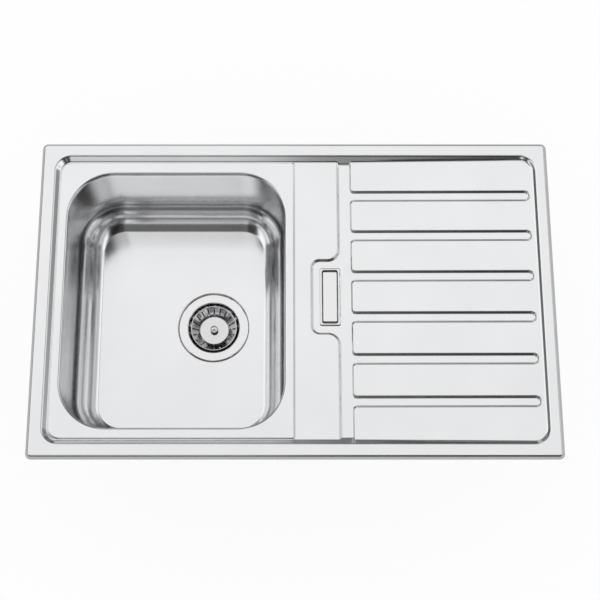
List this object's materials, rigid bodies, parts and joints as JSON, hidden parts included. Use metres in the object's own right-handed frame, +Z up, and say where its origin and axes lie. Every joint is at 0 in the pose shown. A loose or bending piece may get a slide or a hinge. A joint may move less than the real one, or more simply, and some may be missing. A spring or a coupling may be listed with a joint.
{
  "type": "kitchen sink",
  "caption": "Inset stainless kitchen sink: one deep bowl with a lift-out strainer basket, a platform with a covered slot overflow, and a ribbed sloping drainer.",
  "frame": {"origin": "centre of the worktop cut-out, on the worktop's top surface", "axes": "+X along the sink towards the drainer, +Y towards the back, +Z up out of the worktop"},
  "size_m": [0.79, 0.5, 0.271],
  "materials": {
    "satin_steel": "satin, fine grain along the length",
    "bowl_steel": "satin drawn bowl",
    "satin_plate": "satin",
    "polished_steel": "half-polished",
    "chrome": "bright",
    "zinc_steel": "zinc plated",
    "foam_seal": "closed-cell foam",
    "black_rubber": "matt",
    "damping_sheet": "bituminous sheet",
    "white_plastic": "moulded",
    "grey_plastic": "extruded",
    "brass": "turned"
  },
  "bodies": {
    "root": {"sink_deck": "satin_steel", "sink_bowl": "bowl_steel", "rim_seal": "foam_seal", "bowl_damping_pad": "damping_sheet", "drainer_damping_pads": "damping_sheet", "waste_flange": "polished_steel", "waste_top_gasket": "black_rubber", "waste_lower_gasket": "black_rubber", "waste_body": "white_plastic", "waste_clamp_screw": "polished_steel", "waste_clamp_insert": "brass", "overflow_frame": "polished_steel", "overflow_plate": "satin_plate", "overflow_screws": "polished_steel", "overflow_gasket": "black_rubber", "overflow_housing": "white_plastic", "overflow_pipe": "grey_plastic", "overflow_nuts": "white_plastic", "overflow_seals": "black_rubber", "clamp_brackets": "zinc_steel", "clamp_screws": "zinc_steel"},
    "plug_stem": {"basket_stem": "polished_steel"},
    "basket": {"strainer_basket": "polished_steel", "basket_knob": "chrome", "basket_seal": "black_rubber"},
    "clamp_jaw_1": {"clamp_jaw_1": "zinc_steel"},
    "clamp_jaw_2": {"clamp_jaw_2": "zinc_steel"},
    "clamp_jaw_3": {"clamp_jaw_3": "zinc_steel"},
    "clamp_jaw_4": {"clamp_jaw_4": "zinc_steel"},
    "clamp_jaw_5": {"clamp_jaw_5": "zinc_steel"},
    "clamp_jaw_6": {"clamp_jaw_6": "zinc_steel"},
    "clamp_jaw_7": {"clamp_jaw_7": "zinc_steel"},
    "clamp_jaw_8": {"clamp_jaw_8": "zinc_steel"}
  },
  "joints": [
    {"name": "basket_lift", "type": "slide", "parent": "root", "child": "plug_stem", "axis": [0, 0, 1], "range_m": [0, 0.05]},
    {"name": "basket_turn", "type": "hinge", "parent": "plug_stem", "child": "basket", "pos_m": [-0.1317, -0.002, -0.18], "axis": [0, 0, 1], "continuous": true},
    {"name": "clamp_jaw_1_swing", "type": "hinge", "parent": "root", "child": "clamp_jaw_1", "pos_m": [-0.28, 0.223, -0.056], "axis": [0, 0, 1], "range_deg": [0, 90]},
    {"name": "clamp_jaw_2_swing", "type": "hinge", "parent": "root", "child": "clamp_jaw_2", "pos_m": [-0.28, -0.223, -0.056], "axis": [0, 0, 1], "range_deg": [0, 90]},
    {"name": "clamp_jaw_3_swing", "type": "hinge", "parent": "root", "child": "clamp_jaw_3", "pos_m": [0, 0.223, -0.056], "axis": [0, 0, 1], "range_deg": [0, 90]},
    {"name": "clamp_jaw_4_swing", "type": "hinge", "parent": "root", "child": "clamp_jaw_4", "pos_m": [0, -0.223, -0.056], "axis": [0, 0, 1], "range_deg": [0, 90]},
    {"name": "clamp_jaw_5_swing", "type": "hinge", "parent": "root", "child": "clamp_jaw_5", "pos_m": [0.28, 0.223, -0.056], "axis": [0, 0, 1], "range_deg": [0, 90]},
    {"name": "clamp_jaw_6_swing", "type": "hinge", "parent": "root", "child": "clamp_jaw_6", "pos_m": [0.28, -0.223, -0.056], "axis": [0, 0, 1], "range_deg": [0, 90]},
    {"name": "clamp_jaw_7_swing", "type": "hinge", "parent": "root", "child": "clamp_jaw_7", "pos_m": [-0.368, 0, -0.056], "axis": [0, 0, 1], "range_deg": [0, 90]},
    {"name": "clamp_jaw_8_swing", "type": "hinge", "parent": "root", "child": "clamp_jaw_8", "pos_m": [0.368, 0, -0.056], "axis": [0, 0, 1], "range_deg": [0, 90]}
  ]
}
